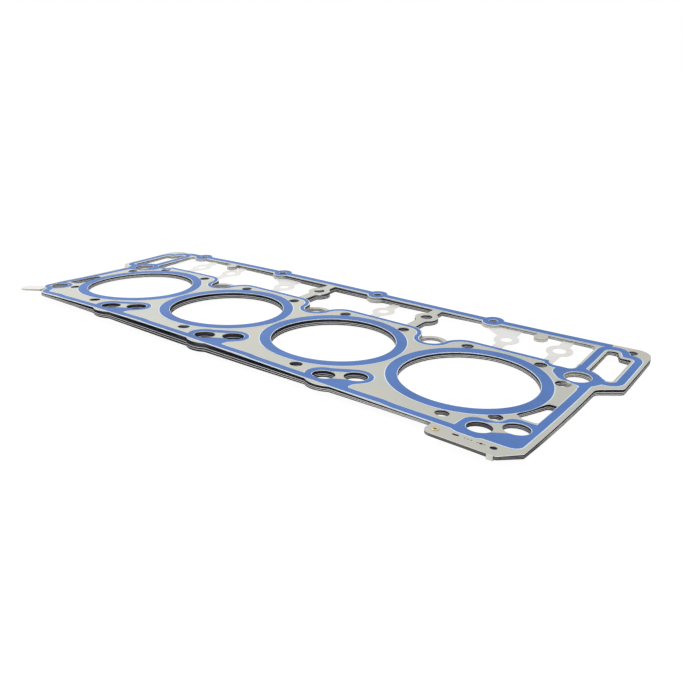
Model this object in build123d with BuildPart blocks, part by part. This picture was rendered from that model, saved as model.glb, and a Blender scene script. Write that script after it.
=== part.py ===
from build123d import *
import os

# Cylinder head gasket of stacked steel sheets, in millimetres.
# X runs along the row of bores, +Y towards the pushrod side, +Z up.
# The origin is on the underside, halfway between the two middle bores.

bore_count = 4
bore_radius = 48.5
bore_land = 20.0
bore_pitch = 2 * bore_radius + bore_land

# Margins are measured outwards from the bores' walls.
end_margin = 26.5
front_margin = 29.0
rail_margin = 71.0
shoulder_margin = -11.5
ear_end_margin = 42.0
ear_front_margin = 0.0
cut_corner = (27.9, 33.5)

carrier_index = 1
sheet_names = ("bottom_sheet", "lower_core_sheet", "upper_core_sheet", "top_sheet")
sheet_thickness = 0.35
sheet_gap = 0.25
sheet_spring = (0.0, 0.2, 0.4, 1.0)
seal_thickness = 0.3
seal_clearance = 0.05

bolt_radius = 8.4
far_bolt_radius = 9.2
bolt_margin = 2.0
far_bolt_margin = 1.0
passage_radius = 8.0
passage_offset = (-17.8, -12.8)
passage_bulge_radius = 17.5
passage_bulge_shift = 5.0
oil_hole_radius = 4.7
front_hole_offset = 14.4
front_hole_margin = 12.8
rear_hole_offset = 29.4
rear_hole_margin = 6.1
corner_hole_margins = (-7.0, -5.0)
shoulder_hole_margins = (6.0, -15.5)
shoulder_hole_radius = 5.5
boss_offset = -37.7
boss_margin = 66.7
boss_hole_radius = 3.5
boss_pad_radius = 8.7
boss_rim = 1.0

valley_front_margin = 17.5
valley_back_margin = 62.0
valley_end_margin = 2.5
valley_corner_radius = 6.0
valley_dip = 6.0
valley_dip_length = 18.5
notch_radius = 10.5
notch_margin = 3.0
notch_shoulder = 18.0
notch_spread = 6.0
lug_radius = 13.0

strut_ring_radius = 10.0
strut_neck = 8.5
strut_fillet = 3.0
near_strut_offset = -13.5
near_strut_margin = 41.0
near_eye_radius = 4.5
far_strut_offset = 29.0
far_strut_margin = 43.0
far_eye_radius = 5.0
web_slope = 17.0

window_end_margin = 12.0
window_width = 19.7
window_top_margin = 59.0
window_crest = 7.0
window_step = (4.0, 9.0)
window_sill_margin = 6.3
window_slope = (9.5, 9.7)
window_sill_step = 4.5
window_corner_radius = 2.5
slot_width = 6.3
slot_end_margin = 10.5
slot_top = -3.0
slot_length = 32.2
slot_toe = 4.0
slot_heel = (6.2, 4.7)
slot_corner_radius = 2.5

seal_margin = 0.5
bore_seal_width = 8.0
port_seal_width = 3.8
frame_seal_width = 5.2
frame_seal_margin = 2.4
edge_seal_width = 5.4
front_seal_margin = 1.5
end_seal_margin = 3.9
corner_seal_shift = 2.1
rail_seal_margin = 1.1
thin_seal_width = 3.0
thin_seal_margin = 1.0
seal_jog = 1.0
join = 2.0

port_pad = 13.0
port_wedge = (8.0, 13.0)
port_neck = (6.5, 10.5)
port_shelf = (13.0, 6.0)
corner_block_wall = 12.6
corner_block_top = (6.0, 8.5)
corner_block_rise = (10.6, 13.4, 12.5)
corner_block_toe = (7.5, 5.5)
corner_block_foot = (5.4, 4.6, -2.2)
ear_block_wall = (18.5, 10.0, 2.0)
ear_block_neck = 6.5
ear_block_depth = (10.0, 13.5, 20.0)
ear_block_nose = (17.0, 3.0, 8.0)
ear_block_rise = (17.0, 22.0)
ear_block_lap = (1.0, 0.5)
jog_offsets = (-22.0, -13.0, 6.0)

tab_start_margin = -31.5
tab_end_margin = 16.0
tab_front_margin = 42.5
marks_margin = 33.9
mark_end_margins = (-13.3, -5.3, 2.8, 10.5)
mark_radius = 1.1
mark_pitch = 2.1
code_hole_radius = 2.2
tongue_end_margin = 12.5
tongue_width = 4.0
tongue_gap = 0.3
tongue_return = 2.0
corner_tab_radius = 8.0
corner_tab_foot = (9.3, 16.8)
corner_tab_reach = (11.2, 8.4)
button_offsets = (15.5, 8.0)
button_margin = 57.5
button_radius = 5.5
ear_hole_margins = (28.0, 62.5)
ear_hole_radius = 4.0

eyelet_margins = (-25.7, 35.5)
eyelet_radius = 1.7
eyelet_bore = 1.0
eyelet_flange_radius = 2.8
eyelet_flange_thickness = 0.3
eyelet_clearance = 0.1

bore_stations = [(i - (bore_count - 1) / 2) * bore_pitch for i in range(bore_count)]
bolt_stations = [(i - bore_count / 2) * bore_pitch for i in range(bore_count + 1)]
middle_stations = bolt_stations[1:-1]
end_bores = (0, bore_count - 1)
webbed_bores = range(1, bore_count, 2)


def front(margin):
    return -bore_radius - margin


def back(margin):
    return bore_radius + margin


def end(margin):
    return bore_stations[-1] + bore_radius + margin


front_edge = front(front_margin)
rail_edge = back(rail_margin)
bolt_row = front(bolt_margin)
far_bolt_row = back(far_bolt_margin)
valley_front = back(valley_front_margin)
valley_back = back(valley_back_margin)
valley_end = end(valley_end_margin)
boss_row = back(boss_margin)
front_seal_y = front_edge + front_seal_margin + edge_seal_width / 2
rail_seal_y = rail_edge - rail_seal_margin - edge_seal_width / 2
end_seal_x = end(end_margin) - end_seal_margin - edge_seal_width / 2
bolt_points = [(x, bolt_row) for x in bolt_stations]
passage_points = [(x + passage_offset[0], y + passage_offset[1]) for x, y in bolt_points[1:]]
eyelet_point = (end(eyelet_margins[0]), front(eyelet_margins[1]))

# The loose stack lies bowed. Each row gives its place along Y, how high the whole stack stands
# there at even stations along X, and how far the top sheet springs off it at the same stations.
bow_reach = end(ear_end_margin) + 4
bow_rows = (
    (front(47.5), (5.69, 7.33, 5.11, 5.15, 6.66, 4.13), (-0.78, 2.74, 6.01, 4.48, 0.53, 1.23)),
    (20.0, (-0.05, 1.57, 1.06, 0.68, 0.38, -0.20), (1.11, 2.99, 4.06, 3.39, 2.38, 2.72)),
    (back(78.5), (2.67, 5.64, 4.38, 3.91, 6.45, 5.26), (0.01, 0.62, 2.67, 2.68, -0.07, 2.68)),
)
bow_steps = len(bow_rows[0][1]) - 1
bow_stations = [bow_reach * (2 * i / bow_steps - 1) for i in range(bow_steps + 1)]
cut_height = 30.0
top_index = len(sheet_names) - 1


def closed_outline(points, radii):
    """A filled outline whose corners have one radius, or one radius each."""
    with BuildSketch() as shape:
        with BuildLine():
            FilletPolyline(*points, radius=radii, close=True)
        make_face()
    return shape.sketch


def stroke(points, radii, width):
    with BuildSketch() as shape:
        with BuildLine() as path:
            FilletPolyline(*points, radius=radii)
        trace(path.line, line_width=width)
    return shape.sketch


def capsule(start, finish, radius):
    with BuildSketch() as shape:
        with Locations(start, finish):
            Circle(radius)
        make_hull()
    return shape.sketch


def window_shape():
    """The opening in the ear at the right-hand end, with a step and a sloped sill."""
    left = end(window_end_margin)
    right = left + window_width
    top = back(window_top_margin)
    sill = back(window_sill_margin)
    slope_top = left + window_sill_step
    corners = [
        (left, top),
        (left + window_crest, top),
        (left + window_crest + window_step[0], top - window_step[1]),
        (right, top - window_step[1]),
        (right, sill),
        (slope_top + window_slope[0], sill),
        (slope_top, sill + window_slope[1]),
        (left, sill + window_slope[1]),
    ]
    return closed_outline(corners, window_corner_radius)


def slot_shape():
    """The wedge-shaped coolant slot between the end bore and the sheet's edge."""
    left = end(slot_end_margin)
    bottom = slot_top - slot_length
    corners = [
        (left, slot_top),
        (left + slot_width, slot_top),
        (left + slot_width, bottom),
        (left - slot_toe, bottom),
        (left - slot_toe - slot_heel[0], bottom + slot_heel[1]),
    ]
    return closed_outline(corners, slot_corner_radius)


def notch_mouth(x):
    bottom, top = back(notch_margin), valley_front + 3 * join
    wide = notch_radius + notch_spread
    return [(x - notch_radius, bottom), (x + notch_radius, bottom), (x + wide, top), (x - wide, top)]


def valley_shape():
    """The pushrod openings as one area, before the struts cross it."""
    notch_y = back(notch_margin)
    with BuildSketch() as shape:
        with Locations((0, (valley_front + valley_back) / 2)):
            RectangleRounded(2 * valley_end, valley_back - valley_front, valley_corner_radius)
        for x in middle_stations:
            Polygon(*notch_mouth(x), align=None)
        shoulders = shape.vertices().filter_by(
            lambda v: abs(v.Y - valley_front) < 0.01 and abs(v.X) < bolt_stations[-1] - bore_radius
        )
        fillet(shoulders, notch_shoulder)
        with Locations(*[(x, notch_y) for x in middle_stations]):
            Circle(notch_radius)
        for side in (-1, 1):
            with Locations((side * (valley_end - valley_dip_length / 2), valley_front)):
                RectangleRounded(valley_dip_length, 2 * valley_dip, valley_dip - 0.5)
    return shape.sketch


def strut_shape(x, margin):
    """A necked ring that carries an eye across the pushrod openings."""
    with BuildSketch() as shape:
        with Locations((x, back(margin))):
            Circle(strut_ring_radius)
        with Locations((x, (valley_front + valley_back) / 2)):
            Rectangle(strut_neck, valley_back - valley_front + 2 * join)
        fillet(shape.vertices().filter_by(lambda v: valley_front < v.Y < valley_back), strut_fillet)
    return shape.sketch


def strut_web(bore_x):
    """The wide web between a near strut's ring and the boss beside it."""
    left = bore_x + boss_offset
    right = bore_x + near_strut_offset + strut_neck / 2
    corners = [
        (left, valley_back + join),
        (right, valley_back + join),
        (right, back(near_strut_margin)),
        (right - strut_neck, back(near_strut_margin)),
        (left, valley_back - web_slope / 3),
    ]
    return closed_outline(corners, join / 4)


def struts(index):
    """The far struts of the inner bores cross every sheet; the carrier sheet has all the others."""
    carrier = index == carrier_index
    with BuildSketch() as shape:
        for bore, x in enumerate(bore_stations):
            if carrier:
                add(strut_shape(x + near_strut_offset, near_strut_margin))
            if carrier and bore in webbed_bores:
                add(strut_web(x))
            if carrier or bore not in end_bores:
                add(strut_shape(x + far_strut_offset, far_strut_margin))
        for x in bore_stations:
            with Locations((x + near_strut_offset, back(near_strut_margin))):
                Circle(near_eye_radius, mode=Mode.SUBTRACT)
            with Locations((x + far_strut_offset, back(far_strut_margin))):
                Circle(far_eye_radius, mode=Mode.SUBTRACT)
    return shape.sketch


def sheet_outline():
    side = end(end_margin)
    ear = end(ear_end_margin)
    shoulder = back(shoulder_margin)
    ear_front = back(ear_front_margin)
    tab_front = front(tab_front_margin)
    corners = [
        (-side + cut_corner[0], front_edge),
        (end(tab_start_margin), front_edge),
        (end(tab_start_margin), tab_front),
        (end(tab_end_margin), tab_front),
        (side, front_edge),
        (side, shoulder),
        (ear, ear_front),
        (ear, rail_edge),
        (-ear, rail_edge),
        (-ear, ear_front),
        (-side, shoulder),
        (-side, front_edge + cut_corner[1]),
    ]
    radii = [14.0, 2.0, 6.0, 2.0, 3.0, 6.0, 4.0, 12.0, 12.0, 4.0, 6.0, 14.0]
    with BuildSketch() as shape:
        add(closed_outline(corners, radii))
        with Locations(*[(x + passage_bulge_shift, y) for x, y in passage_points]):
            Circle(passage_bulge_radius)
    return shape.sketch


def round_holes(extra):
    """Bolt, coolant, oil and boss holes, each wider by extra all round."""
    with BuildSketch() as shape:
        with Locations(*bolt_points):
            Circle(bolt_radius + extra)
        with Locations(*[(x, far_bolt_row) for x in bolt_stations]):
            Circle(far_bolt_radius + extra)
        with Locations(*passage_points):
            Circle(passage_radius + extra)
        for x in bore_stations:
            rear = back(rear_hole_margin)
            with Locations(
                (x + front_hole_offset, front(front_hole_margin)),
                (x - rear_hole_offset, rear),
                (x + rear_hole_offset, rear),
            ):
                Circle(oil_hole_radius + extra)
            with Locations((x + boss_offset, boss_row)):
                Circle(boss_hole_radius + extra)
        for side in (-1, 1):
            with Locations((side * end(corner_hole_margins[0]), front(corner_hole_margins[1]))):
                Circle(oil_hole_radius + extra)
            with Locations((side * end(shoulder_hole_margins[0]), back(shoulder_hole_margins[1]))):
                Circle(shoulder_hole_radius + extra)
    return shape.sketch


def end_openings():
    with BuildSketch() as shape:
        add(window_shape())
        add(slot_shape())
        mirror(about=Plane.YZ)
    return shape.sketch


def code_marks(top):
    """The small punched marks on the tab; only the first goes through every sheet."""
    y = front(marks_margin)
    first, second, third, fourth = [end(margin) for margin in mark_end_margins]
    with BuildSketch() as shape:
        add(capsule((first - mark_radius, y), (first + mark_radius, y), mark_radius))
        if top:
            with Locations((second, y), (third, y)):
                with GridLocations(mark_pitch, 1, 3, 1):
                    Circle(mark_radius / 2)
            with Locations((third, y)):
                Circle(mark_radius)
            with Locations((fourth, y)):
                Circle(code_hole_radius)
        else:
            with Locations((fourth, y + mark_radius)):
                Circle(mark_radius)
    return shape.sketch


def sheet_plan(index):
    top = index == top_index
    with BuildSketch() as shape:
        add(sheet_outline())
        with Locations(*[(x, 0) for x in bore_stations]):
            Circle(bore_radius, mode=Mode.SUBTRACT)
        add(valley_shape(), mode=Mode.SUBTRACT)
        add(struts(index))
        for x in bore_stations:
            with Locations((x + boss_offset, boss_row)):
                Circle(boss_pad_radius + boss_rim)
        for x, offset in ((bore_stations[0], button_offsets[0]), (bore_stations[-1], button_offsets[1])):
            with Locations((x + offset, back(button_margin))):
                Circle(button_radius)
        if not top:
            with Locations(*[(x, far_bolt_row) for x in middle_stations]):
                Circle(lug_radius)
            foot = (-end(end_margin) + corner_tab_foot[0], front_edge + corner_tab_foot[1])
            tip = (foot[0] - corner_tab_reach[0], foot[1] - corner_tab_reach[1])
            add(capsule(foot, tip, corner_tab_radius))
        add(round_holes(0), mode=Mode.SUBTRACT)
        if top:
            with Locations(*[(x, back(notch_margin)) for x in middle_stations]):
                Circle(notch_radius, mode=Mode.SUBTRACT)
        add(end_openings(), mode=Mode.SUBTRACT)
        add(code_marks(top), mode=Mode.SUBTRACT)
        with Locations((end(ear_hole_margins[0]), back(ear_hole_margins[1]))):
            Circle(ear_hole_radius, mode=Mode.SUBTRACT)
        with Locations(eyelet_point):
            Circle(eyelet_radius + eyelet_clearance, mode=Mode.SUBTRACT)
    return shape.sketch


def port_loop(bolt_x):
    """The seal round a bolt hole and its coolant passage, filled down to the edge seal."""
    bolt = (bolt_x, bolt_row)
    passage = (bolt_x + passage_offset[0], bolt_row + passage_offset[1])
    edge_top = front_seal_y + edge_seal_width / 2
    wedge = [
        (passage[0] - port_wedge[0], front_seal_y),
        (bolt_x + port_wedge[1], front_seal_y),
        (bolt_x + port_wedge[1], edge_top),
        (bolt_x + port_neck[0], edge_top),
        (bolt_x + port_neck[0], bolt_row - port_shelf[0]),
        (bolt_x + port_neck[1], bolt_row - port_shelf[1]),
        (passage[0], bolt_row - port_shelf[1]),
    ]
    with BuildSketch() as shape:
        add(capsule(bolt, passage, bolt_radius + port_seal_width))
        add(closed_outline(wedge, [1.0, 1.0, 0.0, 3.0, 3.0, 1.0, 1.0]))
        with Locations(passage):
            Circle(port_pad)
        add(capsule(bolt, passage, passage_radius - 1), mode=Mode.SUBTRACT)
    return shape.sketch


def corner_block():
    """The seal round the last bolt hole and passage, which fills the front corner."""
    passage, bolt = passage_points[-1], bolt_points[-1]
    outer = end_seal_x + edge_seal_width / 2
    low = front_seal_y - edge_seal_width / 2
    wall = passage[0] - corner_block_wall
    top = bolt[1] + corner_block_rise[2]
    outline = [
        (wall, low),
        (wall, passage[1] + corner_block_rise[0]),
        (passage[0] + corner_block_top[0], passage[1] + corner_block_rise[1]),
        (bolt[0] - corner_block_top[1], top),
        (outer, top),
        (outer, low + corner_block_foot[0]),
        (bolt[0] - corner_block_toe[1], low + corner_block_foot[1]),
        (passage[0] + corner_block_toe[1], low + corner_block_foot[2]),
        (passage[0] - corner_block_toe[0], low + corner_block_foot[2]),
    ]
    with BuildSketch() as shape:
        add(closed_outline(outline, [0.5, 9.0, 4.0, 7.0, 1.0, 6.0, 6.0, 4.0, 4.0]))
        add(capsule(bolt, passage, passage_radius - 1), mode=Mode.SUBTRACT)
    return shape.sketch


def ear_block():
    """The seal round the last far bolt hole, where it meets the frame round the window."""
    x, y = bolt_stations[-1], far_bolt_row
    outer = end_seal_x + edge_seal_width / 2
    wall = x - ear_block_wall[0]
    lap_x = valley_end + ear_block_lap[0]
    lap_y = valley_front - valley_dip - ear_block_lap[1]
    outline = [
        (wall, lap_y),
        (wall, y),
        (x - ear_block_wall[1], y - ear_block_depth[0]),
        (x + ear_block_neck, y - ear_block_depth[1]),
        (x + ear_block_neck, y - ear_block_depth[2]),
        (outer, y - ear_block_depth[2]),
        (outer, y - ear_block_depth[0]),
        (x + ear_block_nose[0], y - ear_block_nose[1]),
        (x + ear_block_nose[0], y + ear_block_nose[2]),
        (x - ear_block_wall[2], y + ear_block_rise[0]),
        (lap_x, y + ear_block_rise[1]),
        (lap_x, lap_y),
    ]
    radii = [1.0, 6.0, 8.0, 3.0, 0.0, 0.0, 3.0, 3.0, 3.0, 3.0, 0.0, 5.0]
    return closed_outline(outline, radii)


def window_frame():
    with BuildSketch() as shape:
        offset(window_shape(), frame_seal_margin + frame_seal_width)
        offset(window_shape(), frame_seal_margin, mode=Mode.SUBTRACT)
    return shape.sketch


def edge_line():
    """The seal along the front and both ends, with a small jog beside each bore."""
    jog_half = seal_jog / 2
    top = far_bolt_row - ear_block_depth[0]
    corner_x = -end(end_margin) + cut_corner[0] + corner_seal_shift
    points = [(-end_seal_x, top), (-end_seal_x, front_edge + cut_corner[1]), (corner_x, front_seal_y)]
    radii = [12.0, 8.0]
    for x in bore_stations:
        points += [
            (x + jog_offsets[0], front_seal_y + jog_half),
            (x + jog_offsets[1], front_seal_y - jog_half),
            (x + bore_pitch / 2 + jog_offsets[2], front_seal_y - jog_half),
        ]
        radii += [5.0, 5.0, 0.0]
    points = points[:-1] + [(end_seal_x, front_seal_y), (end_seal_x, top)]
    radii = radii[:-1] + [4.0]
    return stroke(points, radii, edge_seal_width)


def thin_line():
    """The narrow seal that follows the pushrod openings round the bolt notches."""
    reach = valley_end - valley_corner_radius
    with BuildSketch() as shape:
        offset(valley_shape(), thin_seal_margin + thin_seal_width)
        offset(valley_shape(), thin_seal_margin, mode=Mode.SUBTRACT)
        with Locations((0, (front(0) + valley_front) / 2)):
            Rectangle(2 * reach, valley_front - front(0), mode=Mode.INTERSECT)
    return shape.sketch


def outer_seal_plan():
    with BuildSketch() as shape:
        add(edge_line())
        for x in middle_stations:
            add(port_loop(x))
        add(corner_block())
        add(ear_block())
        add(window_frame())
        add(mirror(ear_block(), about=Plane.YZ))
        add(mirror(window_frame(), about=Plane.YZ))
        with Locations((0, rail_seal_y)):
            Rectangle(2 * end(window_end_margin), edge_seal_width)
        with Locations(*[(x + boss_offset, boss_row) for x in bore_stations]):
            Circle(boss_pad_radius)
        with Locations(bolt_points[0]):
            Circle(bolt_radius + port_seal_width)
        add(thin_line())
        add(round_holes(seal_margin), mode=Mode.SUBTRACT)
        add(end_openings(), mode=Mode.SUBTRACT)
    return shape.sketch


def bowed_sections(base, spring, thickness):
    """Cross-sections of a thin slab that follows the bow, plus a share of the top sheet's spring."""
    sections = []
    for y, stack, top in bow_rows:
        low = [(x, base + a + spring * b) for x, a, b in zip(bow_stations, stack, top)]
        high = [(x, z + thickness) for x, z in low]
        with BuildSketch(Plane.XZ.offset(-y)) as section:
            with BuildLine():
                Spline(*low)
                Line(low[-1], high[-1])
                Spline(*reversed(high))
                Line(high[0], low[0])
            make_face()
        sections.append(section.sketch.face())
    return sections


def sheet_base(index):
    return index * (sheet_thickness + sheet_gap)


def height_range(index, point, radius):
    """The lowest and highest points of a bowed sheet within a circle."""
    with BuildPart() as disc:
        loft(bowed_sections(sheet_base(index), sheet_spring[index], sheet_thickness))
        with BuildSketch(Plane.XY.offset(-1)):
            with Locations(point):
                Circle(radius)
        extrude(amount=cut_height, mode=Mode.INTERSECT)
    box = disc.part.bounding_box()
    return box.min.Z, box.max.Z


def tongue_profile():
    """The tongue folded down over the tab's edge, which holds the stack together there."""
    edge = front(tab_front_margin)
    point = (end(tongue_end_margin), edge + tongue_return)
    top = height_range(top_index, point, tongue_return)[1] - sheet_thickness / 2
    bottom = height_range(0, point, tongue_return)[0] - tongue_gap - sheet_thickness / 2
    outside = edge - tongue_gap - sheet_thickness / 2
    path = [(edge + tongue_return, top), (outside, top), (outside, bottom), (edge + tongue_return, bottom)]
    return stroke(path, [sheet_thickness, sheet_thickness], sheet_thickness)


def eyelet_profile(bottom, top):
    x = eyelet_point[0]
    foot = bottom - eyelet_flange_thickness
    crown = top + eyelet_flange_thickness
    return [
        (x + eyelet_bore, foot),
        (x + eyelet_flange_radius, foot),
        (x + eyelet_flange_radius, bottom),
        (x + eyelet_radius, bottom),
        (x + eyelet_radius, top),
        (x + eyelet_flange_radius, top),
        (x + eyelet_flange_radius, crown),
        (x + eyelet_bore, crown),
    ]


def save(piece, label):
    piece.part.label = label
    export_step(piece.part, f"parts/{label}.step")


seal_base = sheet_base(top_index) + sheet_thickness + seal_clearance
outer_seal = outer_seal_plan()

os.makedirs("parts", exist_ok=True)

for index, name in enumerate(sheet_names):
    with BuildPart() as sheet:
        loft(bowed_sections(sheet_base(index), sheet_spring[index], sheet_thickness))
        with BuildSketch(Plane.XY.offset(-1)):
            add(sheet_plan(index))
        extrude(amount=cut_height, mode=Mode.INTERSECT)
        if index == top_index:
            with BuildSketch(Plane.YZ.offset(end(tongue_end_margin))):
                add(tongue_profile())
            extrude(amount=tongue_width / 2, both=True)
    save(sheet, name)

for index, x in enumerate(bore_stations):
    with BuildPart() as bore_seal:
        loft(bowed_sections(seal_base, 1.0, seal_thickness))
        with BuildSketch(Plane.XY.offset(-1)):
            with Locations((x, 0)):
                Circle(bore_radius + seal_margin + bore_seal_width)
                Circle(bore_radius + seal_margin, mode=Mode.SUBTRACT)
        extrude(amount=cut_height, mode=Mode.INTERSECT)
    save(bore_seal, f"bore_seal_{index + 1}")

with BuildPart() as top_outer_seal:
    loft(bowed_sections(seal_base, 1.0, seal_thickness))
    with BuildSketch(Plane.XY.offset(-1)):
        add(outer_seal)
    extrude(amount=cut_height, mode=Mode.INTERSECT)
save(top_outer_seal, "outer_seal")

with BuildPart() as brass_eyelet:
    bottom = height_range(0, eyelet_point, eyelet_flange_radius)[0] - eyelet_clearance
    top = height_range(top_index, eyelet_point, eyelet_flange_radius)[1] + eyelet_clearance
    with BuildSketch(Plane.XZ.offset(-eyelet_point[1])):
        with BuildLine():
            Polyline(*eyelet_profile(bottom, top), close=True)
        make_face()
    revolve(axis=Axis((eyelet_point[0], eyelet_point[1], 0), (0, 0, 1)))
save(brass_eyelet, "brass_eyelet")
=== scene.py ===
import bpy
import bmesh
import math
from mathutils import Matrix, Vector
from mathutils.bvhtree import BVHTree


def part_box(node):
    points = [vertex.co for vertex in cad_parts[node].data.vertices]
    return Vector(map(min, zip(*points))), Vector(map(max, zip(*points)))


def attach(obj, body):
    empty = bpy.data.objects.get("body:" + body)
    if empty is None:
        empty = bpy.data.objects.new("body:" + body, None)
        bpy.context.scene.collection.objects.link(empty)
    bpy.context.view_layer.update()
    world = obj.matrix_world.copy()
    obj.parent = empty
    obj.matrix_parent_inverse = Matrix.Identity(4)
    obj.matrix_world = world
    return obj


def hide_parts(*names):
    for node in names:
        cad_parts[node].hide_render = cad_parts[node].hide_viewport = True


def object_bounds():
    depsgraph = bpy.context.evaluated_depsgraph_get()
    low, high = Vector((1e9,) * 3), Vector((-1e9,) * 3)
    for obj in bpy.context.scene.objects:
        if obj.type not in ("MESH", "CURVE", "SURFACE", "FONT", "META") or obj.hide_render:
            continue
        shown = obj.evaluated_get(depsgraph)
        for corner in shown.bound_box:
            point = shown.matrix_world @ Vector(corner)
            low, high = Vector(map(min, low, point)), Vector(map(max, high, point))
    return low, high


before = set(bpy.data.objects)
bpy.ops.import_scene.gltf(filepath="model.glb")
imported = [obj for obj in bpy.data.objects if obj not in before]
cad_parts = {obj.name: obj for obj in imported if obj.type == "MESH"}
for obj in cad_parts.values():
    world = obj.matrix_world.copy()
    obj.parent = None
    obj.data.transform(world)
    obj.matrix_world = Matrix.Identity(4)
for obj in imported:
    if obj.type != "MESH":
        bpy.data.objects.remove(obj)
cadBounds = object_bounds()

# all lengths are metres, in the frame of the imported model
weldReach = 1e-6  # corners closer than this are one


def opaque(colour):
    return (*colour, 1.0)


def addMath(tree, operation, *values):
    # one step of arithmetic on sockets and plain numbers
    node = tree.nodes.new("ShaderNodeMath")
    node.operation = operation
    for socket, value in zip(node.inputs, values):
        if isinstance(value, (int, float)):
            socket.default_value = value
        else:
            tree.links.new(value, socket)
    return node.outputs[0]


def addRange(tree, value, ends):
    # 0 at the first end and 1 at the second
    node = tree.nodes.new("ShaderNodeMapRange")
    node.inputs["From Min"].default_value, node.inputs["From Max"].default_value = ends
    tree.links.new(value, node.inputs["Value"])
    return node.outputs["Result"]


def addMix(tree, share, first, second):
    # the first colour where the share is 0, and the second where it is 1
    node = tree.nodes.new("ShaderNodeMix")
    node.data_type = "RGBA"
    for label, value in (("Factor", share), ("A", first), ("B", second)):
        tree.links.new(value, node.inputs[label])
    return node.outputs["Result"]


def addPlace(tree):
    # X, Y and Z of the spot that is shaded
    place = tree.nodes.new("ShaderNodeTexCoord")
    split = tree.nodes.new("ShaderNodeSeparateXYZ")
    tree.links.new(place.outputs["Object"], split.inputs[0])
    return split.outputs


def newGroup(name, inputs, outputs):
    # a shader node group with named sockets: the group, what it is given and what it puts out
    group = bpy.data.node_groups.new(name, "ShaderNodeTree")
    for side, sockets in (("INPUT", inputs), ("OUTPUT", outputs)):
        for label, kind in sockets.items():
            group.interface.new_socket(name=label, in_out=side, socket_type="NodeSocket" + kind)
    given = group.nodes.new("NodeGroupInput").outputs
    result = group.nodes.new("NodeGroupOutput").inputs
    return group, given, result


def placeGroup(tree, group, values):
    node = tree.nodes.new("ShaderNodeGroup")
    node.node_tree = group
    for label, value in values.items():
        node.inputs[label].default_value = value
    return node


print("materials")

# the shares of fine grain and soft cloud, and how far they swing the colour and the roughness
grainSettings = {
    "fineShare": 0.4,
    "cloudShare": 0.6,
    "fineDetail": 3.0,
    "cloudDetail": 2.0,
    "contrast": (0.38, 0.62),
    "roughnessSwing": 0.12,
    "bumpDepth": 0.0002,
}


def addNoise(tree, place, scale, detail):
    node = tree.nodes.new("ShaderNodeTexNoise")
    node.inputs["Detail"].default_value = detail
    tree.links.new(place, node.inputs["Vector"])
    tree.links.new(scale, node.inputs["Scale"])
    return node.outputs["Fac"]


def makeGrainGroup():
    # fine drawn-out grain and soft clouds, as on rolled sheet and screen-printed rubber
    group, given, result = newGroup(
        "surfaceGrain",
        {
            "Colour": "Color",
            "Second Colour": "Color",
            "Grain Scale": "Float",
            "Cloud Scale": "Float",
            "Stretch": "Vector",
            "Roughness": "Float",
        },
        {"Colour": "Color", "Roughness": "Float", "Height": "Float"},
    )
    place = group.nodes.new("ShaderNodeTexCoord").outputs["Object"]
    stretch = group.nodes.new("ShaderNodeVectorMath")
    stretch.operation = "MULTIPLY"
    group.links.new(place, stretch.inputs[0])
    group.links.new(given["Stretch"], stretch.inputs[1])
    grain = addNoise(group, stretch.outputs[0], given["Grain Scale"], grainSettings["fineDetail"])
    cloud = addNoise(group, place, given["Cloud Scale"], grainSettings["cloudDetail"])
    clouds = addMath(group, "MULTIPLY", cloud, grainSettings["cloudShare"])
    blend = addMath(group, "MULTIPLY_ADD", grain, grainSettings["fineShare"], clouds)
    share = addRange(group, blend, grainSettings["contrast"])
    colour = addMix(group, share, given["Colour"], given["Second Colour"])
    swing = grainSettings["roughnessSwing"]
    roughness = addMath(group, "MULTIPLY_ADD", blend, swing, given["Roughness"])
    group.links.new(colour, result["Colour"])
    group.links.new(roughness, result["Roughness"])
    group.links.new(grain, result["Height"])
    return group


# the sheared walls of the sheets, and where painted shade darkens them at the front right corner
edgeSettings = {
    "wallTilt": 0.5,  # a face whose normal rises or falls less than this is a wall
    "shadeAlong": (0.186, 0.200),
    "shadeAcross": (-0.035, -0.060),
}


def makeEdgeGroup():
    # picks out the walls of a sheet, but not those in front of Fold Y, on the folded tongue, and
    # paints shade on them at the front right corner
    group, given, result = newGroup(
        "shearedEdge",
        {
            "Face Colour": "Color",
            "Edge Colour": "Color",
            "Shaded Edge Colour": "Color",
            "Fold Y": "Float",
        },
        {"Colour": "Color"},
    )
    shape = group.nodes.new("ShaderNodeNewGeometry")
    facing = group.nodes.new("ShaderNodeSeparateXYZ")
    group.links.new(shape.outputs["True Normal"], facing.inputs[0])
    tilt = addMath(group, "ABSOLUTE", facing.outputs["Z"])
    upright = addMath(group, "LESS_THAN", tilt, edgeSettings["wallTilt"])
    spot = addPlace(group)
    unfolded = addMath(group, "GREATER_THAN", spot["Y"], given["Fold Y"])
    wall = addMath(group, "MULTIPLY", upright, unfolded)
    # painted shade: the walls darken towards the front right corner, along X and along Y
    along = addRange(group, spot["X"], edgeSettings["shadeAlong"])
    across = addRange(group, spot["Y"], edgeSettings["shadeAcross"])
    shade = addMath(group, "MULTIPLY", along, across)
    edge = addMix(group, shade, given["Edge Colour"], given["Shaded Edge Colour"])
    colour = addMix(group, wall, given["Face Colour"], edge)
    group.links.new(colour, result["Colour"])
    return group


# where the lower sheets stick out past the top one, with middles and half widths in pairs
bareSettings = {
    "lugPitch": 0.117,
    "lugRow": 0.0495,
    "lugRadius": 0.0136,
    "valley": (0.0885, 0.022),
    "valleyEnds": (0.0, 0.2265),
    "coveredStrut": (-0.0295, 0.0135),  # two struts, a pitch apart, cross the top sheet too
    "coveredSpan": (0.029, 0.100),
    "tabEnd": -0.238,
    "tabFront": -0.052,
}


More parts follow.
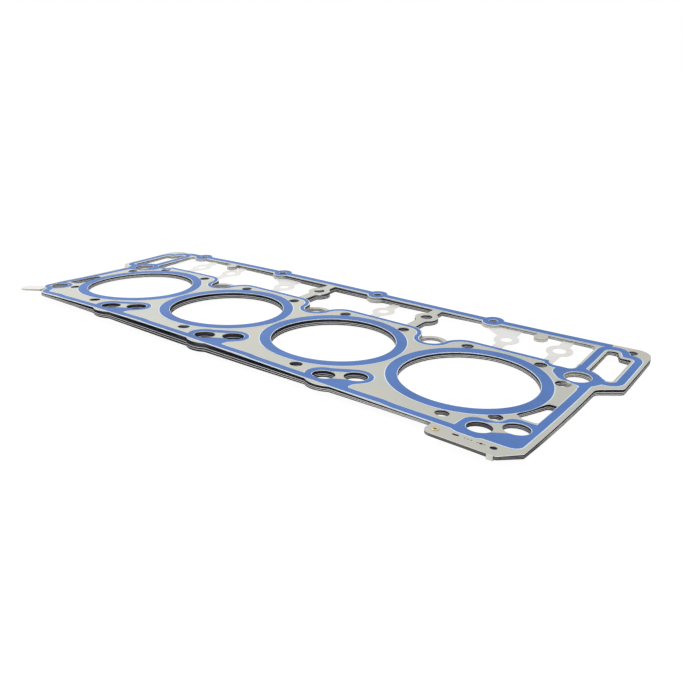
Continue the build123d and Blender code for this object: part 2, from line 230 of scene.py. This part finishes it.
def makeBareGroup():
    # bare bolt lugs, valley struts and corner tab on a sheet that is otherwise dark inside the
    # stack, for its coating and for painted shade between the sheets
    group, given, result = newGroup(
        "barePlaces",
        {"Inside Colour": "Color", "Lug Colour": "Color", "Bare Colour": "Color"},
        {"Colour": "Color"},
    )
    spot = addPlace(group)
    x, y = spot["X"], spot["Y"]
    halfPitch = bareSettings["lugPitch"] / 2
    # a round lug at every bolt, one a pitch
    beside = addMath(group, "WRAP", x, halfPitch, -halfPitch)
    behind = addMath(group, "SUBTRACT", y, bareSettings["lugRow"])
    behindSquare = addMath(group, "MULTIPLY", behind, behind)
    reachSquare = addMath(group, "MULTIPLY_ADD", beside, beside, behindSquare)
    lug = addMath(group, "LESS_THAN", reachSquare, bareSettings["lugRadius"] ** 2)
    # all the struts across the valley, but for those that the top sheet covers
    inDepth = addMath(group, "COMPARE", y, *bareSettings["valley"])
    inLength = addMath(group, "COMPARE", x, *bareSettings["valleyEnds"])
    inValley = addMath(group, "MULTIPLY", inDepth, inLength)
    coveredX, coveredHalf = bareSettings["coveredStrut"]
    fromFirst = addMath(group, "SUBTRACT", x, coveredX)
    fromNearest = addMath(group, "WRAP", fromFirst, halfPitch, -halfPitch)
    onStrut = addMath(group, "COMPARE", fromNearest, 0.0, coveredHalf)
    inSpan = addMath(group, "COMPARE", x, *bareSettings["coveredSpan"])
    covered = addMath(group, "MULTIPLY", onStrut, inSpan)
    struts = addMath(group, "GREATER_THAN", inValley, covered)
    # the tab at the front left corner
    tabSide = addMath(group, "LESS_THAN", x, bareSettings["tabEnd"])
    tabFront = addMath(group, "LESS_THAN", y, bareSettings["tabFront"])
    tab = addMath(group, "MULTIPLY", tabSide, tabFront)
    bare = addMath(group, "MAXIMUM", struts, tab)
    sheet = addMix(group, lug, given["Inside Colour"], given["Lug Colour"])
    colour = addMix(group, bare, sheet, given["Bare Colour"])
    group.links.new(colour, result["Colour"])
    return group


grainGroup = makeGrainGroup()
edgeGroup = makeEdgeGroup()
bareGroup = makeBareGroup()


def startMaterial(name, settings):
    material = bpy.data.materials.new(name)
    material.use_nodes = True
    tree = material.node_tree
    shader = tree.nodes["Principled BSDF"]
    shader.inputs["Metallic"].default_value = settings["metallic"]
    return material, tree, shader


def addGrain(tree, shader, settings):
    # two tones of one finish; the grain that parts them drives the roughness too
    first, second = settings["tones"]
    grain = placeGroup(tree, grainGroup, {
        "Colour": opaque(first),
        "Second Colour": opaque(second),
        "Grain Scale": settings["grainScale"],
        "Cloud Scale": settings["cloudScale"],
        "Stretch": settings["grainStretch"],
        "Roughness": settings["roughness"],
    })
    tree.links.new(grain.outputs["Roughness"], shader.inputs["Roughness"])
    return grain


def addBump(tree, shader, grain, strength):
    bump = tree.nodes.new("ShaderNodeBump")
    bump.inputs["Strength"].default_value = strength
    bump.inputs["Distance"].default_value = grainSettings["bumpDepth"]
    tree.links.new(grain.outputs["Height"], bump.inputs["Height"])
    tree.links.new(bump.outputs[0], shader.inputs["Normal"])


# the top sheet is rolled steel, with its grain along the row of bores
steelSettings = {
    "tones": ((0.605, 0.625, 0.585), (0.655, 0.635, 0.555)),
    "edge": (0.80, 0.80, 0.77),
    "foldDepth": 0.00055,  # how far the tongue's fold reaches back from its front
    "roughness": 0.42,
    "metallic": 0.75,
    "grainScale": 900.0,
    "grainStretch": (0.06, 1.0, 1.0),
    "cloudScale": 26.0,
    "bump": 0.06,
}


def makeTopSheetMaterial():
    material, tree, shader = startMaterial("satinSteel", steelSettings)
    grain = addGrain(tree, shader, steelSettings)
    # its edge stays bright where the sheets below get painted shade
    rim = placeGroup(tree, edgeGroup, {
        "Edge Colour": opaque(steelSettings["edge"]),
        "Shaded Edge Colour": opaque(steelSettings["edge"]),
        "Fold Y": cadBounds[0][1] + steelSettings["foldDepth"],
    })
    tree.links.new(grain.outputs["Colour"], rim.inputs["Face Colour"])
    tree.links.new(rim.outputs["Colour"], shader.inputs["Base Color"])
    addBump(tree, shader, grain, steelSettings["bump"])
    return material


# the lower sheets are dark inside the stack, for their coating and for painted shade in the gaps
# between them, bare where they stick out and bright where cut
coreSettings = {
    "tones": ((0.80, 0.80, 0.79), (0.78, 0.75, 0.69)),
    # dark navy for the coating and for painted shade in the gaps between the sheets
    "inside": (0.040, 0.048, 0.092),
    "lug": (0.55, 0.53, 0.485),
    "edge": (0.80, 0.79, 0.76),
    # painted shade on the cut edges at the front right corner
    "shadedEdge": (0.16, 0.155, 0.15),
    "roughness": 0.45,
    "metallic": 0.2,
    "grainScale": steelSettings["grainScale"],
    "grainStretch": steelSettings["grainStretch"],
    "cloudScale": steelSettings["cloudScale"],
}


def makeLowerSheetMaterial():
    material, tree, shader = startMaterial("coatedSteelWithGapShade", coreSettings)
    grain = addGrain(tree, shader, coreSettings)
    bare = placeGroup(tree, bareGroup, {
        "Inside Colour": opaque(coreSettings["inside"]),
        "Lug Colour": opaque(coreSettings["lug"]),
    })
    rim = placeGroup(tree, edgeGroup, {
        "Edge Colour": opaque(coreSettings["edge"]),
        "Shaded Edge Colour": opaque(coreSettings["shadedEdge"]),
        "Fold Y": cadBounds[0][1],  # nothing on these sheets is folded
    })
    tree.links.new(grain.outputs["Colour"], bare.inputs["Bare Colour"])
    tree.links.new(bare.outputs["Colour"], rim.inputs["Face Colour"])
    tree.links.new(rim.outputs["Colour"], shader.inputs["Base Color"])
    return material


# the seals are screen-printed rubber, with specks of two close blues
sealSettings = {
    "tones": ((0.056, 0.152, 0.430), (0.078, 0.192, 0.525)),
    "roughness": 0.46,
    "metallic": 0.0,
    "specular": 0.35,
    "grainScale": 700.0,
    "grainStretch": (1.0, 1.0, 1.0),
    "cloudScale": 22.0,
    "bump": 0.10,
}


def makeSealMaterial():
    material, tree, shader = startMaterial("blueElastomer", sealSettings)
    shader.inputs["Specular IOR Level"].default_value = sealSettings["specular"]
    grain = addGrain(tree, shader, sealSettings)
    tree.links.new(grain.outputs["Colour"], shader.inputs["Base Color"])
    addBump(tree, shader, grain, sealSettings["bump"])
    return material


brassSettings = {
    "tones": ((0.66, 0.56, 0.28), (0.86, 0.76, 0.42)),
    "roughness": 0.28,
    "metallic": 1.0,
    "grainScale": 900.0,
    "grainStretch": (1.0, 1.0, 1.0),
    "cloudScale": 25.0,
}


def makeBrassMaterial():
    material, tree, shader = startMaterial("rolledBrass", brassSettings)
    grain = addGrain(tree, shader, brassSettings)
    tree.links.new(grain.outputs["Colour"], shader.inputs["Base Color"])
    return material


topSteel = makeTopSheetMaterial()
lowerSteel = makeLowerSheetMaterial()
blueSeal = makeSealMaterial()
brass = makeBrassMaterial()


def finishFor(nodeName):
    if "seal" in nodeName:
        return blueSeal
    if "eyelet" in nodeName:
        return brass
    return topSteel if nodeName == "top_sheet" else lowerSteel


# a node keeps its mesh, and only takes a finish
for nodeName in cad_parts:
    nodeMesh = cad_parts[nodeName].data
    nodeMesh.materials.clear()
    nodeMesh.materials.append(finishFor(nodeName))


def meshFrom(shape, name, material):
    mesh = bpy.data.meshes.new(name)
    shape.to_mesh(mesh)
    shape.free()
    mesh.materials.append(material)
    return mesh


def placeObject(name, data):
    placed = bpy.data.objects.new(name, data)
    bpy.context.scene.collection.objects.link(placed)
    return placed


print("shoulders")

# a bright strip along both sides of every printed seal is a painted highlight, for the light that
# the pressed bead's crest catches
shoulderSettings = {
    "widths": (0.00075, 0.00046),  # the widest that has sheet under it is taken
    "longestCorner": 1.6,  # in widths of the strip
    "wallTilt": 0.5,
    # a pale bluish white for the painted highlight
    "colour": (0.80, 0.90, 0.96),
    "roughness": 0.4,
    "metallic": 0.2,
    "sightRise": 0.0001,  # the sheet is looked for straight down from here
    "sightReach": 0.0003,
    "rise": 0.00004,
    "thickness": 0.00008,
    "slot": "sheet_steel",
}


# the finish of the painted bead highlight
def makeBeadHighlightMaterial():
    material, tree, shader = startMaterial("paintedBeadHighlight", shoulderSettings)
    shader.inputs["Base Color"].default_value = opaque(shoulderSettings["colour"])
    shader.inputs["Roughness"].default_value = shoulderSettings["roughness"]
    return material


def rimDirections(seal):
    # the outline of the seal's underside, and which way its walls face at each corner
    limit = shoulderSettings["wallTilt"]
    edges, facing = [], {}
    for edge in seal.edges:
        under = [face for face in edge.link_faces if face.normal.z < -limit]
        walls = [face for face in edge.link_faces if abs(face.normal.z) < limit]
        if len(under) != 1 or len(walls) != 1:
            continue
        outward = Vector((walls[0].normal.x, walls[0].normal.y, 0)).normalized()
        edges.append(edge)
        for corner in edge.verts:
            facing.setdefault(corner.index, []).append(outward)
    return edges, facing


def shoulderPoint(corner, direction, sheetTree):
    # the strip is as wide as the sheet beside the seal allows
    down = Vector((0, 0, -1))
    for width in shoulderSettings["widths"]:
        point = corner + direction * width
        eye = point - down * shoulderSettings["sightRise"]
        if sheetTree.ray_cast(eye, down, shoulderSettings["sightReach"])[0] is not None:
            break
    return point


def addStripCorners(strip, seal, facing, sheetTree):
    # for each corner of the seal's outline, one corner at its wall and one out on the sheet
    rise = Vector((0, 0, shoulderSettings["rise"]))
    longest = shoulderSettings["longestCorner"]
    pairs = {}
    for corner in seal.verts:
        if corner.index not in facing:
            continue
        outwards = facing[corner.index]
        middle = sum(outwards, Vector((0, 0, 0))).normalized()
        # a sharp corner reaches further out, so that both of its sides keep their width
        stretch = 1 / max(1 / longest, middle.dot(outwards[0]))
        outer = shoulderPoint(corner.co, middle * stretch, sheetTree)
        ends = (corner.co + rise, outer + rise)
        pairs[corner.index] = [strip.verts.new(end) for end in ends]
    return pairs


def makeShoulder(nodeName, material, sheetTree):
    seal = bmesh.new()
    seal.from_mesh(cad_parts[nodeName].data)
    bmesh.ops.remove_doubles(seal, verts=seal.verts, dist=weldReach)
    seal.normal_update()
    seal.verts.index_update()
    edges, facing = rimDirections(seal)
    strip = bmesh.new()
    pairs = addStripCorners(strip, seal, facing, sheetTree)
    for edge in edges:
        first, second = (pairs[corner.index] for corner in edge.verts)
        face = strip.faces.new((first[0], second[0], second[1], first[1]))
        face.normal_update()
        if face.normal.z < 0:
            face.normal_flip()
    # the flat strip gets its thickness downwards
    grown = bmesh.ops.extrude_face_region(strip, geom=strip.faces[:], use_keep_orig=True)
    lower = [part for part in grown["geom"] if isinstance(part, bmesh.types.BMVert)]
    bmesh.ops.translate(strip, verts=lower, vec=(0, 0, -shoulderSettings["thickness"]))
    bmesh.ops.recalc_face_normals(strip, faces=strip.faces[:])
    seal.free()
    name = nodeName + "Shoulder"
    piece = placeObject(name, meshFrom(strip, name, material))
    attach(piece, "root")


beadHighlightFinish = makeBeadHighlightMaterial()
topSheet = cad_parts["top_sheet"].data
topTree = BVHTree.FromPolygons(
    [corner.co for corner in topSheet.vertices],
    [list(face.vertices) for face in topSheet.polygons],
)
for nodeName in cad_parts:
    if "seal" in nodeName:
        makeShoulder(nodeName, beadHighlightFinish, topTree)

print("eyelet")

# the brass eyelet has a plain barrel, and a rolled lip at each end
eyeletSettings = {
    "lipRadius": 0.00235,
    "barrelRadius": 0.0017,
    "boreRadius": 0.00105,
    "lipThickness": 0.00030,
    "arcSteps": 6,
    "turnSteps": 48,
    "sharpAngle": 40.0,
}


def eyeletOutline(foot, crown):
    # half of the section, from the bore's foot round the lower lip, barrel and upper lip
    bore, lip = eyeletSettings["boreRadius"], eyeletSettings["lipRadius"]
    barrel, thick = eyeletSettings["barrelRadius"], eyeletSettings["lipThickness"]
    steps = eyeletSettings["arcSteps"]
    quarter = [math.pi / 2 * index / steps for index in range(steps + 1)]
    roll = (lip - bore) / 2
    middle = (lip + bore) / 2
    lowerLip = [
        (middle - roll * math.cos(turn), foot + thick * (1 - math.sin(turn)))
        for turn in quarter
    ]
    lowerLip += [
        (middle + roll * math.sin(turn), foot + thick * (1 - math.cos(turn)))
        for turn in quarter[1:]
    ]
    upperLip = [(radius, crown - (height - foot)) for radius, height in reversed(lowerLip)]
    return lowerLip + [(barrel, foot + thick), (barrel, crown - thick)] + upperLip


def makeEyelet(nodeName, material):
    low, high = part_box(nodeName)
    centre = Vector(((low[0] + high[0]) / 2, (low[1] + high[1]) / 2, 0))
    shape = bmesh.new()
    outline = eyeletOutline(low[2], high[2])
    corners = [
        shape.verts.new(centre + Vector((radius, 0, height))) for radius, height in outline
    ]
    edges = [
        shape.edges.new((corners[index - 1], corners[index])) for index in range(len(corners))
    ]
    bmesh.ops.spin(
        shape, geom=corners + edges, cent=centre, axis=(0, 0, 1), angle=2 * math.pi,
        steps=eyeletSettings["turnSteps"], use_merge=True,
    )
    bmesh.ops.remove_doubles(shape, verts=shape.verts, dist=weldReach)
    bmesh.ops.recalc_face_normals(shape, faces=shape.faces[:])
    name = nodeName + "Rolled"
    mesh = meshFrom(shape, name, material)
    mesh.shade_smooth()
    mesh.set_sharp_from_angle(angle=math.radians(eyeletSettings["sharpAngle"]))
    piece = placeObject(name, mesh)
    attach(piece, "root")
    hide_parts(nodeName)


makeEyelet("brass_eyelet", brass)

print("floor and light")

# the camera sees most of the floor as plain white, so that only soft shadows are left
floorSettings = {
    "size": 6.0,
    "drop": 0.0002,
    "colour": (0.9, 0.9, 0.9),
    "glowShare": 0.88,
    "glowStrength": 1.08,
}


def makeFloorMaterial():
    material = bpy.data.materials.new("paleFloor")
    material.use_nodes = True
    tree = material.node_tree
    tree.nodes.clear()
    matt = tree.nodes.new("ShaderNodeBsdfDiffuse")
    matt.inputs["Color"].default_value = opaque(floorSettings["colour"])
    glow = tree.nodes.new("ShaderNodeEmission")
    glow.inputs["Strength"].default_value = floorSettings["glowStrength"]
    path = tree.nodes.new("ShaderNodeLightPath")
    seen = path.outputs["Is Camera Ray"]
    share = addMath(tree, "MULTIPLY", seen, floorSettings["glowShare"])
    blend = tree.nodes.new("ShaderNodeMixShader")
    for socket, value in zip(blend.inputs, (share, matt.outputs[0], glow.outputs[0])):
        tree.links.new(value, socket)
    surface = tree.nodes.new("ShaderNodeOutputMaterial")
    tree.links.new(blend.outputs[0], surface.inputs["Surface"])
    return material


def makeFloor():
    shape = bmesh.new()
    bmesh.ops.create_grid(shape, x_segments=1, y_segments=1, size=floorSettings["size"] / 2)
    height = cadBounds[0][2] - floorSettings["drop"]
    bmesh.ops.translate(shape, verts=shape.verts, vec=(0, 0, height))
    floor = placeObject("floor", meshFrom(shape, "floor", makeFloorMaterial()))


# the room lights the part evenly, and the camera sees it as pure white
roomSettings = {
    "colour": (1.0, 1.0, 1.0),
    "strength": 0.735,
    "seenStrength": 1.0,
}


def makeRoom():
    world = bpy.data.worlds.new("whiteRoom")
    bpy.context.scene.world = world
    world.use_nodes = True
    tree = world.node_tree
    room = tree.nodes["Background"]
    room.inputs["Color"].default_value = opaque(roomSettings["colour"])
    path = tree.nodes.new("ShaderNodeLightPath")
    rays = (path.outputs["Is Camera Ray"], path.outputs["Is Transmission Ray"])
    level = tree.nodes.new("ShaderNodeMapRange")
    level.inputs["To Min"].default_value = roomSettings["strength"]
    level.inputs["To Max"].default_value = roomSettings["seenStrength"]
    tree.links.new(addMath(tree, "MAXIMUM", *rays), level.inputs["Value"])
    tree.links.new(level.outputs["Result"], room.inputs["Strength"])


# soft square lamps, each turned to the middle of the row of bores
lampSettings = {
    "keyLight": {"place": (-0.8, -0.1, 0.85), "size": 1.0, "power": 5.6},
    "backLight": {"place": (-0.85, 0.9, 0.5), "size": 0.8, "power": 0.5},
    "sideLight": {"place": (1.0, -0.05, 0.16), "size": 0.5, "power": 1.2},
    "frontLight": {"place": (0.48, -0.52, 0.13), "size": 0.3, "power": 1.0},
}


def addLamp(name, place, size, power):
    light = bpy.data.lights.new(name, "AREA")
    light.energy = power
    light.size = size
    lamp = placeObject(name, light)
    lamp.location = place
    lamp.rotation_euler = (-Vector(place)).to_track_quat("-Z", "Y").to_euler()


# the photo's view; turns are in degrees, and the lens and its sensor in millimetres
viewSettings = {
    "place": (0.37761, -0.41319, 0.19994),
    "azimuth": 36.994,
    "elevation": 20.538,
    "roll": 0.752,
    "lens": 37.770,
    "sensor": 36.0,
}


def makeCamera():
    lens = bpy.data.cameras.new("photoView")
    lens.lens = viewSettings["lens"]
    lens.sensor_width = viewSettings["sensor"]
    camera = placeObject("photoView", lens)
    turn = Matrix.Rotation(math.radians(viewSettings["azimuth"]), 4, "Z")
    tilt = Matrix.Rotation(math.radians(90 - viewSettings["elevation"]), 4, "X")
    roll = Matrix.Rotation(math.radians(viewSettings["roll"]), 4, "Z")
    camera.matrix_world = Matrix.Translation(viewSettings["place"]) @ turn @ tilt @ roll
    bpy.context.scene.camera = camera


makeFloor()
makeRoom()
for lampName, lampValues in lampSettings.items():
    addLamp(lampName, **lampValues)
makeCamera()
bpy.context.scene.view_settings.view_transform = "Standard"
